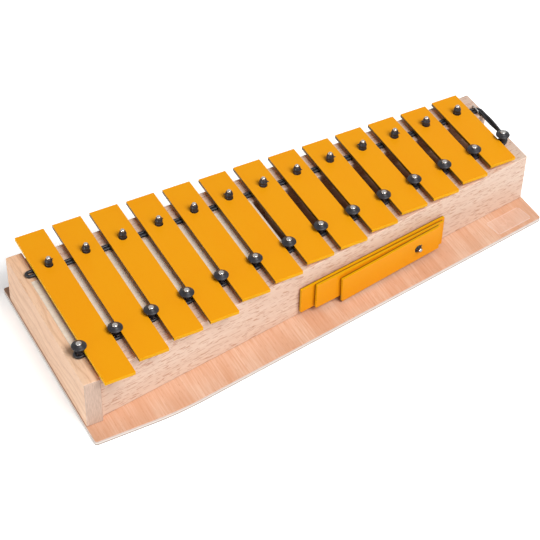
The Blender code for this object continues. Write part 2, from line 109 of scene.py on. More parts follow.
class Board:
    def __init__(self, tree):
        self.tree = tree

    def node(self, kind, settings=None, values=None, out=0):
        made = self.tree.nodes.new(kind)
        for key, value in (settings or {}).items():
            setattr(made, key, value)
        pairs = values.items() if isinstance(values, dict) else enumerate(values or [])
        for key, value in pairs:
            if isinstance(value, Wire):
                self.tree.links.new(value.socket, made.inputs[key])
            elif value is not None:
                made.inputs[key].default_value = value
        return Wire(self, made.outputs[out])

    def spot(self, turn=0.0, centre=(0, 0, 0)):  # object coordinates, turned so that X runs along the grain
        coords = self.node('ShaderNodeTexCoord', {}, {}, 'Object')
        shift = self.node('ShaderNodeVectorMath', {'operation': 'SUBTRACT'}, [coords, centre])
        return self.node('ShaderNodeMapping', {}, {'Vector': shift, 'Rotation': (0, 0, -turn)})

    def split(self, vector):
        first = self.node('ShaderNodeSeparateXYZ', {}, [vector])
        return first, first.other(1), first.other(2)

    def noise(self, spot, stretch, detail=2.0, roughness=0.5):
        scaled = self.node('ShaderNodeVectorMath', {'operation': 'MULTIPLY'}, [spot, stretch])
        return self.node('ShaderNodeTexNoise', {}, {'Vector': scaled, 'Scale': 1.0, 'Detail': detail,
                                                    'Roughness': roughness})

    def ease(self, value, low, high):  # 0 below low, 1 above high, smooth between
        return self.node('ShaderNodeMapRange', {'interpolation_type': 'SMOOTHSTEP'},
                         {'Value': value, 'From Min': low, 'From Max': high})

    def blend(self, factor, first, second):
        sockets = {0: factor, 6: first, 7: second}
        for key in (6, 7):
            if isinstance(sockets[key], tuple):
                sockets[key] = (*sockets[key], 1)
        return self.node('ShaderNodeMix', {'data_type': 'RGBA'}, sockets, 2)

    def dot(self, vector, axis):
        return self.node('ShaderNodeVectorMath', {'operation': 'DOT_PRODUCT'}, [vector, axis], 'Value')

    def bump(self, height, relief):  # relief is strength and distance
        strength, distance = relief
        return self.node('ShaderNodeBump', {}, {'Strength': strength, 'Distance': distance,
                                                'Height': height})

    def skin(self, fixed, varying):
        shader = self.node('ShaderNodeBsdfPrincipled', {}, {**fixed, **varying})
        self.show(shader, 'ShaderNodeOutputMaterial')

    def show(self, shader, kind):
        output = self.tree.nodes.new(kind)
        self.tree.links.new(shader.socket, output.inputs['Surface'])

    def join(self, *parts):
        made = self.tree.nodes.new('GeometryNodeJoinGeometry')
        for part in parts:
            self.tree.links.new(part.socket, made.inputs[0])
        return Wire(self, made.outputs[0])


def newFinish(name):
    made = bpy.data.materials.new(name)
    made.use_nodes = True
    made.node_tree.nodes.clear()
    return made, Board(made.node_tree)


# Places that the pieces share, read from the frame

def middleOf(node):
    low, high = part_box(node)
    return (low + high) / 2


def rowThrough(firstNode, lastNode):
    first = middleOf(firstNode)
    last = middleOf(lastNode)
    slope = (last.y - first.y) / (last.x - first.x)
    return slope, lambda x: first.y + slope * (x - first.x)


frontSlope, frontRow = rowThrough(frontNodes[0], frontNodes[-1])
rearSlope, rearRow = rowThrough(rearNodes[0], rearNodes[-1])
frontFirst = middleOf(frontNodes[0]).x
rearFirst, rearLast = middleOf(rearNodes[0]).x, middleOf(rearNodes[-1]).x
pitch = (rearLast - rearFirst) / (len(rearNodes) - 1)
railFoot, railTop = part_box('front_rail')[0].z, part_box('front_rail')[1].z
railLeft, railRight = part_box('front_rail')[0].x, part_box('front_rail')[1].x
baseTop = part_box('base_board')[1].z
barBottom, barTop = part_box('bar_01_c5')[0].z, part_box('bar_01_c5')[1].z
cordAxis = middleOf('bar_cord').z
sharpAngle = math.radians(50)
weldDistance = 0.01 * mm

rails = {
    'frontLip': 26.1 * mm, 'frontInner': 7.0 * mm, 'rearLip': 23.1 * mm, 'rearInner': 7.0 * mm,
    'edge': 0.7 * mm, 'endEdge': 1.0 * mm, 'boreRadius': 1.6 * mm, 'boreDepth': 16.3 * mm,
    'boreSides': 20, 'cutAbove': 2 * mm, 'seam': 0.04 * mm, 'floorLap': 0.3 * mm, 'plyEdge': 0.3 * mm}


def railFace(x):  # the front rail's outer face
    return frontRow(x) - rails['frontLip']


def railBack(x):  # the rear rail's outer face
    return rearRow(x) + rails['rearLip']


faceRun = Vector((railRight - railLeft, railFace(railRight) - railFace(railLeft), 0)).normalized()
frontTurn = math.atan2(faceRun.y, faceRun.x)
rearTurn = math.atan(rearSlope)


# Mesh helpers

def newPiece(name, mesh):
    piece = bpy.data.objects.new(name, mesh)
    bpy.context.scene.collection.objects.link(piece)
    return piece


def plainMesh(piece):
    bpy.context.view_layer.update()
    graph = bpy.context.evaluated_depsgraph_get()
    return bpy.data.meshes.new_from_object(piece.evaluated_get(graph))


def settle(piece):  # bakes the modifiers into a plain mesh
    mesh = plainMesh(piece)
    mesh.name = piece.name
    piece.modifiers.clear()
    piece.data = mesh
    return piece


def dress(piece, finish, slotName, body, *nodes):
    if finish:
        piece.data.materials.clear()
        piece.data.materials.append(finish)
    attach(piece, body)
    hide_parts(*nodes)


def roundOff(piece, width, segments=3, limit=40):
    bevel = piece.modifiers.new('rounded edges', 'BEVEL')
    bevel.width = width
    bevel.segments = segments
    bevel.limit_method = 'ANGLE'
    bevel.angle_limit = math.radians(limit)
    bevel.harden_normals = True
    return bevel


def carve(piece, cutter):
    boolean = piece.modifiers.new('cut', 'BOOLEAN')
    boolean.operation = 'DIFFERENCE'
    boolean.object = cutter
    boolean.solver = 'EXACT'


def closeMesh(cage, mesh):
    bmesh.ops.recalc_face_normals(cage, faces=cage.faces)
    cage.to_mesh(mesh)
    cage.free()
    mesh.shade_smooth()
    return mesh


def slabPiece(name, outline, low, high):
    cage = bmesh.new()
    plate = cage.faces.new([cage.verts.new((x, y, low)) for x, y in outline])
    grown = bmesh.ops.extrude_face_region(cage, geom=[plate])
    lifted = [item for item in grown['geom'] if isinstance(item, bmesh.types.BMVert)]
    bmesh.ops.translate(cage, vec=(0, 0, high - low), verts=lifted)
    return newPiece(name, closeMesh(cage, bpy.data.meshes.new(name)))


def plyBoard(name, node, outline, edge, finish, slotName):  # as thick as its node, with rounded edges
    low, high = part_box(node)
    piece = slabPiece(name, outline, low.z, high.z)
    roundOff(piece, edge, 2)
    dress(settle(piece), finish, slotName, boxBody, node)


def latheMesh(name, profile, sides):  # a profile of radius and height, from the top down
    cage = bmesh.new()
    rings = []
    for radius, height in profile:
        ring = []
        for side in range(sides if radius else 1):
            angle = 2 * math.pi * side / sides
            ring.append(cage.verts.new((radius * math.cos(angle), radius * math.sin(angle), height)))
        rings.append(ring)
    for upper, lower in zip(rings, rings[1:]):
        for side in range(sides):
            after = (side + 1) % sides
            if len(upper) == 1:
                cage.faces.new((upper[0], lower[side], lower[after]))
            elif len(lower) == 1:
                cage.faces.new((upper[side], lower[0], upper[after]))
            else:
                cage.faces.new((upper[side], lower[side], lower[after], upper[after]))
    mesh = closeMesh(cage, bpy.data.meshes.new(name))
    mesh.set_sharp_from_angle(angle=sharpAngle)
    return mesh


# Geometry node trees

def newTree(name, sockets):
    tree = bpy.data.node_groups.new(name, 'GeometryNodeTree')
    for label, kind in sockets.items():
        tree.interface.new_socket(name=label, in_out='INPUT', socket_type='NodeSocket' + kind)
    tree.interface.new_socket(name='Geometry', in_out='OUTPUT', socket_type='NodeSocketGeometry')
    board = Board(tree)
    entry = board.node('NodeGroupInput')
    return board, {label: entry.other(number) for number, label in enumerate(sockets)}


def endTree(board, geometry, material):  # every tree ends as a real mesh with its material
    whole = board.node('GeometryNodeRealizeInstances', {}, [geometry])
    finished = board.node('GeometryNodeSetMaterial', {}, {'Geometry': whole, 'Material': material})
    output = board.tree.nodes.new('NodeGroupOutput')
    board.tree.links.new(finished.socket, output.inputs[0])
    return board.tree


def grow(piece, tree, values):  # puts the tree on the piece and sets its inputs by their identifiers
    modifier = piece.modifiers.new(tree.name, 'NODES')
    modifier.node_group = tree
    for item in tree.interface.items_tree:
        if item.in_out == 'INPUT' and item.name in values:
            modifier[item.identifier] = values[item.name]
    return piece


def makeBarTree():  # a flat plate with rounded corners and one round hole, centred on the origin
    board, given = newTree('toneBar', {
        'Width': 'Float', 'Length': 'Float', 'Thickness': 'Float', 'Corner Radius': 'Float',
        'Corner Steps': 'Int', 'Hole Radius': 'Float', 'Hole Sides': 'Int', 'Hole Offset': 'Float',
        'Material': 'Material'})
    outline = board.node('GeometryNodeCurvePrimitiveQuadrilateral', {'mode': 'RECTANGLE'},
                         {'Width': given['Width'], 'Height': given['Length']})
    outline = board.node('GeometryNodeFilletCurve', {'mode': 'POLY'}, {
        'Curve': outline, 'Count': given['Corner Steps'], 'Radius': given['Corner Radius']})
    hole = board.node('GeometryNodeCurvePrimitiveCircle', {'mode': 'RADIUS'},
                      {'Resolution': given['Hole Sides'], 'Radius': given['Hole Radius']})
    holePlace = board.node('ShaderNodeCombineXYZ', {}, {'Y': given['Hole Offset']})
    hole = board.node('GeometryNodeTransform', {}, {'Geometry': hole, 'Translation': holePlace})
    plate = board.node('GeometryNodeFillCurve', {'mode': 'NGONS'}, [board.join(hole, outline)])
    rise = board.node('ShaderNodeCombineXYZ', {}, {'Z': given['Thickness']})
    raised = board.node('GeometryNodeExtrudeMesh', {'mode': 'FACES'},
                        {'Mesh': plate, 'Offset': rise, 'Offset Scale': 1.0, 'Individual': False})
    under = board.node('GeometryNodeFlipFaces', {}, [plate])
    merged = board.node('GeometryNodeMergeByDistance', {}, {'Geometry': board.join(under, raised),
                                                            'Distance': weldDistance})
    smooth = board.node('GeometryNodeSetShadeSmooth', {}, [merged])
    return endTree(board, smooth, given['Material'])


def makePinTree():  # one copy of a turned piece on each point, leaning and turned as the point says
    board, given = newTree('pinRow', {'Geometry': 'Geometry', 'Pin': 'Object', 'Material': 'Material'})
    pin = board.node('GeometryNodeObjectInfo', {'transform_space': 'ORIGINAL'},
                     {'Object': given['Pin']}, 'Geometry')
    lean, girth = [board.node('GeometryNodeInputNamedAttribute', {'data_type': 'FLOAT_VECTOR'},
                              {'Name': label}) for label in ('lean', 'girth')]
    copies = board.node('GeometryNodeInstanceOnPoints', {},
                        {'Points': given['Geometry'], 'Instance': pin, 'Rotation': lean, 'Scale': girth})
    return endTree(board, copies, given['Material'])


def makeCordTree():  # a round tube along the curve, its radius taken from the curve's own
    board, given = newTree('cordTube', {'Geometry': 'Geometry', 'Radius': 'Float', 'Sides': 'Int',
                                        'Material': 'Material'})
    section = board.node('GeometryNodeCurvePrimitiveCircle', {'mode': 'RADIUS'},
                         {'Resolution': given['Sides'], 'Radius': given['Radius']})
    width = board.node('GeometryNodeInputRadius')
    tube = board.node('GeometryNodeCurveToMesh', {}, {'Curve': given['Geometry'], 'Profile Curve': section,
                                                      'Scale': width, 'Fill Caps': True})
    smooth = board.node('GeometryNodeSetShadeSmooth', {}, [tube])
    return endTree(board, smooth, given['Material'])


def tubePiece(name, node, route, radius, sides, look, closed=False):  # a route is places with radii
    curve = bpy.data.curves.new(name + 'Line', 'CURVE')
    curve.dimensions = '3D'
    spline = curve.splines.new('POLY')
    spline.points.add(len(route) - 1)
    for point, (place, girth) in zip(spline.points, route):
        point.co = (*place, 1)
        point.radius = girth / radius
    spline.use_cyclic_u = closed
    line = newPiece(name + 'Line', curve)
    grow(line, cordTree, {'Radius': radius, 'Sides': sides, 'Material': look[0]})
    piece = newPiece(name, plainMesh(line))
    bpy.data.objects.remove(line, do_unlink=True)
    dress(piece, *look, boxBody, node)


barTree = makeBarTree()
pinTree = makePinTree()
cordTree = makeCordTree()
print('geometry trees built')


# Finishes

# Painted light: the bars' side faces and rounded edges are tinted a darker, yellower olive for the shade
# and grazing sheen on them
barPaint = {
    'body': (0.93, 0.372, 0.0055), 'warm': (0.93, 0.355, 0.0050), 'light': (0.94, 0.39, 0.008),
    # painted shade: the left-face colour is a dark olive for the shade in the gaps between the bars
    'speck': (0.45, 0.20, 0.02), 'edge': (0.74, 0.37, 0.003), 'leftFaceLightAndShade': (0.15, 0.10, 0.008),
    'sideLightAndShadeAmount': 0.92, 'faceRange': (0.25, 0.92), 'leftRange': (0.3, 0.9),
    'cloud': ((28, 16, 28), 3.0, 0.55), 'cloudRange': (0.36, 0.66),
    'mottle': ((420, 420, 420), 2.0, 0.6), 'mottleRange': (0.3, 0.7), 'mottleAmount': 0.25,
    'peel': ((1500, 1500, 1500), 2.0, 0.5), 'dust': ((950, 950, 950), 0.0), 'dustRange': (0.885, 0.905),
    'dustAmount': 0.5, 'roughness': 0.42, 'roughSpread': 0.12, 'peelHeight': 0.6, 'mottleHeight': 0.4,
    'relief': (0.16, 0.3 * mm), 'specular': 0.30, 'sheen': (1.0, 0.42, 0.02, 1)}


def paintFinish(name, look, plateAxis):  # the axis points out of the plate's broad face
    made, board = newFinish(name)
    normal = board.node('ShaderNodeTexCoord', {}, {}, 'Normal')
    rim = 1 - board.ease(board.dot(normal, plateAxis).math('ABSOLUTE'), *look['faceRange'])
    # left-facing side faces take the left-face colour: painted shade in the gaps of the inner bars, a
    # painted lit yellow on bar 1
    leftward = -board.split(normal)[0]
    edge = board.blend(board.ease(leftward, *look['leftRange']), look['edge'], look['leftFaceLightAndShade'])
    spot = board.spot()
    cloud, mottle, peel, dust = [board.noise(spot, *look[kind])
                                 for kind in ('cloud', 'mottle', 'peel', 'dust')]
    base = board.blend(board.ease(cloud, *look['cloudRange']), look['body'], look['warm'])
    base = board.blend(board.ease(mottle, *look['mottleRange']) * look['mottleAmount'], base, look['light'])
    base = board.blend(board.ease(dust, *look['dustRange']) * look['dustAmount'], base, look['speck'])
    # painted shade and sheen: faces turned away from the broad face take the side colour
    base = board.blend(rim * look['sideLightAndShadeAmount'], base, edge)
    if 'stackShade' in look:  # painted shade: a dark line along the back arris of each plate in the stack, where the narrow gap to the plate behind lies in shade
        depth = (board.dot(spot, plateAxis) - look['backPlane']).math('FLOORED_MODULO', look['platePitch'])
        # painted shade mask: the side faces near the back of each plate
        worn = rim * (1 - board.ease(depth, *look['wornRange']))
        base = board.blend(worn * look['wornAmount'], base, look['stackShade'])
    height = peel * look['peelHeight'] + mottle * look['mottleHeight']
    board.skin({'Specular IOR Level': look['specular'], 'Specular Tint': look['sheen']},
               {'Base Color': base, 'Roughness': look['roughness'] + (mottle - 0.5) * look['roughSpread'],
                'Normal': board.bump(height, look['relief'])})
    return made


# Detail and roughness of the noises in a grain, and what their values are eased and weighed with

grainNoise = {
    'drift': (2.0, 0.5), 'streak': (4.0, 0.62), 'band': (2.0, 0.5), 'fibre': (2.0, 0.6),
    'dash': (1.0, 0.4)}
grainRange = {'streak': (0.32, 0.72), 'band': (0.35, 0.65), 'fibre': (0.5, 0.8), 'dashStep': 0.06}
grainRough = {'streak': 0.15, 'dash': 0.10}
grainHeight = {'fibre': 0.5, 'streak': 0.3, 'dash': 0.8}


def woodGrain(board, spot, look):  # colour, roughness and height of one piece of wood
    across, up = board.split(spot)[1:]
    drift, streak, band, fibre, dash = [board.noise(spot, look[kind], *grainNoise[kind])
                                        for kind in grainNoise]
    reach = ((across - look['heart'][0]) ** 2.0 + (up - look['heart'][1]) ** 2.0) ** 0.5
    ring = ((reach + (drift - 0.5) * look['wander']) * look['rings']).math('SINE') * 0.5 + 0.5
    ring = ring ** look['ringSharp']
    dash = board.ease(dash, look['dashLow'], look['dashLow'] + grainRange['dashStep'])
    base = board.blend(board.ease(band, *grainRange['band']), look['pale'], look['warm'])
    base = board.blend(board.ease(streak, *grainRange['streak']) * look['streakAmount'], base, look['deep'])
    base = board.blend(ring * look['ringAmount'], base, look['deep'])
    base = board.blend(board.ease(fibre, *grainRange['fibre']) * look['fibreAmount'], base, look['deep'])
    base = board.blend(dash * look['dashAmount'], base, look['dashColour'])
    rough = look['roughness'] + (streak - 0.5) * grainRough['streak'] + dash * grainRough['dash']
    height = fibre * grainHeight['fibre'] + streak * grainHeight['streak'] - dash * grainHeight['dash']
    return base, rough, height


plyEdge = {
    'layers': [(0.0, 0.3 * mm, (0.74, 0.68, 0.62)), (0.3 * mm, 1.2 * mm, (0.24, 0.145, 0.12)),
               (1.2 * mm, 3.0 * mm, (0.74, 0.68, 0.61)), (3.0 * mm, 4.15 * mm, (0.62, 0.49, 0.45))],
    'seam': 0.04 * mm, 'wear': ((700, 700, 900), 2.0, 0.6), 'wearAmount': 0.35, 'wearShade': 0.8}


def plyColour(board, spot, base):  # plies and glue lines seen on the board's edge
    level = board.split(board.spot())[2]
    seam = plyEdge['seam']
    worn = board.noise(spot, *plyEdge['wear']) * plyEdge['wearAmount']
    for low, high, colour in plyEdge['layers']:
        mask = board.ease(level, low - seam, low + seam) * (1 - board.ease(level, high - seam, high + seam))
        shaded = tuple(channel * plyEdge['wearShade'] for channel in colour)
        base = board.blend(mask, base, board.blend(worn, colour, shaded))
    return base


endGrain = {
    'place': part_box('end_board')[0].y, 'range': (0.3 * mm, 0.7 * mm),
    'pores': ((1500, 200, 160), 3.0, 0.6), 'poreRange': (0.3, 0.7), 'pale': (0.63, 0.47, 0.385),
    'deep': (0.47, 0.34, 0.275), 'amount': 0.9}


def endGrainColour(board, spot, base):  # the grey end grain at the end board's front end
    mask = 1 - board.ease(board.split(spot)[0] - endGrain['place'], *endGrain['range'])
    pores = board.noise(board.spot(), *endGrain['pores'])
    grey = board.blend(board.ease(pores, *endGrain['poreRange']), endGrain['pale'], endGrain['deep'])
    return board.blend(mask * endGrain['amount'], base, grey)


def woodFinish(name, look, extra=None):
    made, board = newFinish(name)
    spot = board.spot(look['turn'])
    base, rough, height = woodGrain(board, spot, look)
    if extra:
        base = extra(board, spot, base)
    board.skin({'Specular IOR Level': look['specular'], 'Coat Weight': look['coat'],
                'Coat Roughness': look['coatRoughness']},
               {'Base Color': base, 'Roughness': rough,
                'Normal': board.bump(height, look['relief'])})
    return made


beechLook = {
    'turn': frontTurn, 'pale': (0.77, 0.605, 0.495), 'warm': (0.74, 0.54, 0.43),
    'deep': (0.655, 0.445, 0.33), 'drift': (5, 26, 26), 'streak': (9, 210, 210), 'band': (4, 42, 42),
    'fibre': (55, 2300, 2300), 'heart': (0.09, -0.16), 'wander': 0.016, 'rings': 1700.0,
    'ringSharp': 2.2, 'ringAmount': 0.16, 'streakAmount': 0.35, 'fibreAmount': 0.22,
    'dash': (170, 1300, 1300), 'dashLow': 0.585, 'dashAmount': 0.74, 'dashColour': (0.50, 0.26, 0.17),
    'roughness': 0.46, 'specular': 0.28, 'coat': 0.06, 'coatRoughness': 0.35, 'relief': (0.20, 0.2 * mm)}
endBoardLook = {
    **beechLook, 'turn': math.pi / 2, 'pale': (0.92, 0.635, 0.440), 'warm': (0.89, 0.57, 0.37),
    'deep': (0.71, 0.42, 0.25), 'heart': (0.30, 0.075), 'rings': 1100.0, 'wander': 0.035,
    'ringSharp': 5.0, 'ringAmount': 0.68, 'streakAmount': 0.36, 'dashAmount': 0.22,
    'drift': (9, 16, 16)}
veneerLook = {
    **beechLook, 'turn': math.pi / 2, 'pale': (0.785, 0.535, 0.395), 'warm': (0.705, 0.412, 0.272),
    'deep': (0.61, 0.29, 0.155), 'drift': (10, 30, 10), 'streak': (26, 760, 20), 'band': (14, 55, 14),
    'fibre': (70, 1900, 60), 'heart': (0.5, -0.4), 'rings': 500.0, 'ringAmount': 0.10,
    'streakAmount': 0.62, 'fibreAmount': 0.45, 'dash': (150, 1500, 200), 'dashLow': 0.67,
    'dashAmount': 0.45, 'dashColour': (0.45, 0.18, 0.09), 'relief': (0.14, 0.2 * mm)}
coverLook = {
    **beechLook, 'turn': 0.0, 'pale': (0.86, 0.78, 0.69), 'warm': (0.83, 0.73, 0.62),
    'deep': (0.70, 0.60, 0.47), 'rings': 700.0, 'dashAmount': 0.15, 'roughness': 0.6, 'coat': 0.0}
# the resonator floor's own brown, darkened further to the deep shade seen through the gaps between the
# bars: partly painted shade
floorLook = {
    **beechLook, 'turn': 0.0, 'pale': (0.50, 0.35, 0.25), 'warm': (0.45, 0.30, 0.20),
    'deep': (0.36, 0.22, 0.14), 'rings': 600.0, 'dashAmount': 0.3, 'roughness': 0.65, 'coat': 0.0}


rubberLook = {
    'body': (0.011, 0.010, 0.012), 'dust': (0.028, 0.026, 0.034), 'cloud': ((260, 260, 260), 3.0, 0.6),
    'grit': ((1900, 1900, 1900), 2.0, 0.5), 'dustRange': (0.42, 0.74), 'roughness': 0.40,
    'roughSpread': 0.25, 'specular': 0.32, 'gritShare': 0.5, 'relief': (0.30, 0.2 * mm)}


def rubberFinish(name, look):
    made, board = newFinish(name)
    cloud, grit = [board.noise(board.spot(), *look[kind]) for kind in ('cloud', 'grit')]
    base = board.blend(board.ease(cloud, *look['dustRange']), look['body'], look['dust'])
    height = grit * look['gritShare'] + cloud * (1 - look['gritShare'])
    board.skin({'Specular IOR Level': look['specular']},
               {'Base Color': base, 'Roughness': look['roughness'] + (cloud - 0.5) * look['roughSpread'],
                'Normal': board.bump(height, look['relief'])})
    return made


steelLook = {
    'bright': (0.44, 0.42, 0.40), 'shade': 0.62, 'worn': ((900, 900, 900), 3.0, 0.6),
    'scratch': ((300, 5200, 800), 2.0, 0.5), 'wornRange': (0.35, 0.75), 'wornAmount': 0.5,
    'roughness': 0.20, 'roughSpread': 0.2, 'relief': (0.10, 0.1 * mm)}


def steelFinish(name, look):
    made, board = newFinish(name)
    worn, scratch = [board.noise(board.spot(), *look[kind]) for kind in ('worn', 'scratch')]
    dull = tuple(channel * look['shade'] for channel in look['bright'])
    base = board.blend(board.ease(worn, *look['wornRange']) * look['wornAmount'], look['bright'], dull)
    board.skin({'Metallic': 1.0},
               {'Base Color': base, 'Roughness': look['roughness'] + (worn - 0.5) * look['roughSpread'],
                'Normal': board.bump(scratch, look['relief'])})
    return made


# a shaded and a lit copy of one paint: the inner bars' left faces are painted in shade, bar 1's left face
# is painted lit
barFinish = paintFinish('barPaint', barPaint, (0, 0, 1))
outerLitFinish = paintFinish('outerBarPaint', {**barPaint, 'leftFaceLightAndShade': (0.86, 0.50, 0.002)}, (0, 0, 1))
frontBeech = woodFinish('frontBeech', beechLook)
rearBeech = woodFinish('rearBeech', {**beechLook, 'turn': rearTurn, 'heart': (-0.05, -0.11)})
endBeech = woodFinish('endBeech', endBoardLook, endGrainColour)
baseVeneer = woodFinish('baseVeneer', veneerLook, plyColour)
coverPly = woodFinish('coverPly', coverLook)
floorPly = woodFinish('floorPly', floorLook)
rubber = (rubberFinish('blackRubber', rubberLook), 'black_rubber')
steel = (steelFinish('nailSteel', steelLook), 'nail_steel')
print('finishes built')


# Base board: straight along the back, with its front edge bent where it turns to follow the front rail

baseBoard = {
    'edge': 0.35 * mm, 'corner': 2.0 * mm, 'bend': 300 * mm, 'steps': 12, 'frontLedgeRight': 29.1 * mm,
    'backLedge': 21.7 * mm}


def roundedOutline(corners, radii, steps):
    points = []
    for index, corner in enumerate(corners):
        here = Vector(corner)
        back = (Vector(corners[index - 1]) - here).normalized()
        ahead = (Vector(corners[(index + 1) % len(corners)]) - here).normalized()
        half = back.angle(ahead) / 2
        centre = here + (back + ahead).normalized() * (radii[index] / math.sin(half))
        start = here + back * (radii[index] / math.tan(half)) - centre
        end = here + ahead * (radii[index] / math.tan(half)) - centre
        sweep = start.angle_signed(end)
        for step in range(steps + 1):
            points.append(centre + Matrix.Rotation(-sweep * step / steps, 2) @ start)
    return points


def makeBaseBoard():
    low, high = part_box('base_board')
    backLeft, backRight = [railBack(x) + baseBoard['backLedge'] for x in (low.x, high.x)]
    frontRight = railFace(railRight) - baseBoard['frontLedgeRight']
    bendX = high.x - (frontRight - low.y) / frontSlope
    corners = [(low.x, backLeft), (low.x, low.y), (bendX, low.y), (high.x, frontRight), (high.x, backRight)]
    radii = [baseBoard[kind] for kind in ('corner', 'corner', 'bend', 'corner', 'corner')]
    plyBoard('baseBoard', 'base_board', roundedOutline(corners, radii, baseBoard['steps']),
             baseBoard['edge'], baseVeneer, 'veneered_plywood')


makeBaseBoard()


# Rails, end board, resonator floor and cover

def pinSpots(nodes, first, row):
    return [Vector((first + pitch * k, row(first + pitch * k), 0)) for k in range(len(nodes))]


frontSpots = pinSpots(frontNodes, frontFirst, frontRow)
rearSpots = pinSpots(rearNodes, rearFirst, rearRow)


def boreCutter(name, spots):
    mesh = bpy.data.meshes.new(name)
    cage = bmesh.new()
    radius = rails['boreRadius']
    depth = rails['boreDepth'] + rails['cutAbove']
    for spot in spots:
        place = Matrix.Translation((spot.x, spot.y, railTop + rails['cutAbove'] - depth / 2))
        bmesh.ops.create_cone(cage, cap_ends=True, segments=rails['boreSides'], radius1=radius,
                              radius2=radius, depth=depth, matrix=place)
    cage.to_mesh(mesh)
    cage.free()
    return newPiece(name, mesh)


def fanned(left, right, rear, front):  # a board's corners between two lines, from the rear left one on
    return [(left, rear(left)), (left, front(left)), (right, front(right)), (right, rear(right))]


def betweenRows(left, right, inset):  # the same for a board that ends inside both rows of pins
    return fanned(left, right, lambda x: rearRow(x) - inset, lambda x: frontRow(x) + inset)


cover = {'ledge': 2.5 * mm, 'gap': 0.05 * mm}


def coverOutline(clearance):
    low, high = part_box('cover_board')
    return betweenRows(low.x - clearance, high.x + clearance,
                       rails['frontInner'] - cover['ledge'] - clearance)


def makeBox():
    frontBores = boreCutter('frontBores', frontSpots)
    rearBores = boreCutter('rearBores', rearSpots)
    rebate = slabPiece('rebate', coverOutline(cover['gap']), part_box('cover_board')[0].z - cover['gap'],
                       railTop + rails['cutAbove'])
    front = slabPiece('frontRail', fanned(railLeft, railRight, lambda x: frontRow(x) + rails['frontInner'],
                                          railFace), railFoot, railTop)
    rear = slabPiece('rearRail', fanned(railLeft, railRight, railBack,
                                        lambda x: rearRow(x) - rails['rearInner']), railFoot, railTop)
    low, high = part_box('end_board')
    seam = railLeft - rails['seam']  # the board is glued to the rails' ends
    end = slabPiece('endBoard', [(low.x, low.y), (seam, low.y), (seam, high.y), (low.x, high.y)],
                    low.z, high.z)
    for piece, bores, edge, finish, node in (
            (front, frontBores, rails['edge'], frontBeech, 'front_rail'),
            (rear, rearBores, rails['edge'], rearBeech, 'rear_rail'),
            (end, frontBores, rails['endEdge'], endBeech, 'end_board')):
        roundOff(piece, edge).harden_normals = False
        carve(piece, rebate)
        carve(piece, bores)
        settle(piece)
        piece.data.set_sharp_from_angle(angle=sharpAngle)
        piece.modifiers.new('flat faces', 'WEIGHTED_NORMAL').keep_sharp = True
        dress(settle(piece), finish, 'beech', boxBody, node)
    for cutter in (frontBores, rearBores, rebate):
        bpy.data.objects.remove(cutter, do_unlink=True)
    low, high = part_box('resonator_floor')
    plyBoard('resonatorFloor', 'resonator_floor',
             betweenRows(low.x, high.x, rails['frontInner'] + rails['floorLap']),
             rails['plyEdge'], floorPly, 'floor_plywood')
    plyBoard('coverBoard', 'cover_board', coverOutline(0), rails['plyEdge'], coverPly, 'pale_plywood')


makeBox()
print('resonator box built')


# Tone bars and spare bars

bars = {
    'corner': 0.5 * mm, 'cornerSteps': 4, 'edge': 0.3 * mm, 'holeRadius': 3.5 * mm, 'holeSides': 40,
    'nodeShare': 0.224, 'firstLength': 175.4 * mm}
spares = {
    'steps': [6, 10, 18], 'trims': [3.0 * mm, 2.5 * mm, -0.9 * mm], 'tilts': [-0.2, -0.7, 1.8],
    'firstGap': 1.0 * mm, 'pitch': 3.6 * mm, 'thinner': 0.4 * mm, 'edge': 0.6 * mm, 'drop': 0.35 * mm,
    'sleeveMiddle': 6.7 * mm}

stowOut = Vector(next(j['axis'] for j in frame['joints'] if j['child'] == spareBodies[0])).normalized()
stowFoot = middleOf('stow_sleeve') - stowOut * spares['sleeveMiddle']
sparePaint = {
    **barPaint, 'body': (0.79, 0.305, 0.0035), 'light': (0.80, 0.33, 0.006),
    'warm': (0.79, 0.29, 0.0035), 'edge': (0.66, 0.35, 0.002), 'leftFaceLightAndShade': (0.66, 0.35, 0.002),
    # painted shade along each spare plate's back arris, for the narrow gaps in the stack
    'stackShade': (0.10, 0.055, 0.006),
    'backPlane': stowFoot.dot(stowOut) + spares['firstGap'] + spares['thinner'] / 2,
    'platePitch': spares['pitch'], 'wornRange': (0.55 * mm, 0.95 * mm), 'wornAmount': 0.9}
spareFinish = paintFinish('sparePaint', sparePaint, tuple(stowOut))


def toneBar(name, width, length, thickness, holeOffset, finish, edge):
    piece = newPiece(name, bpy.data.meshes.new(name))
    grow(piece, barTree, {'Width': width, 'Length': length, 'Thickness': thickness,
                          'Corner Radius': bars['corner'], 'Corner Steps': bars['cornerSteps'],
                          'Hole Radius': bars['holeRadius'], 'Hole Sides': bars['holeSides'],
                          'Hole Offset': holeOffset, 'Material': finish})
    roundOff(piece, edge)
    return settle(piece)


def makeBars():
    for number, body in enumerate(barBodies):
        low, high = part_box(body)
        middle = (low + high) / 2
        finish = barFinish if number else outerLitFinish  # bar 1 has no gap to its left, so its left face takes the lit copy of the paint
        piece = toneBar('toneBar{:02d}'.format(number + 1), high.x - low.x, high.y - low.y,
                        high.z - low.z, rearSpots[number].y - middle.y, finish, bars['edge'])
        piece.data.transform(Matrix.Translation((middle.x, middle.y, low.z)))
        dress(piece, None, 'bar_paint', body, body)


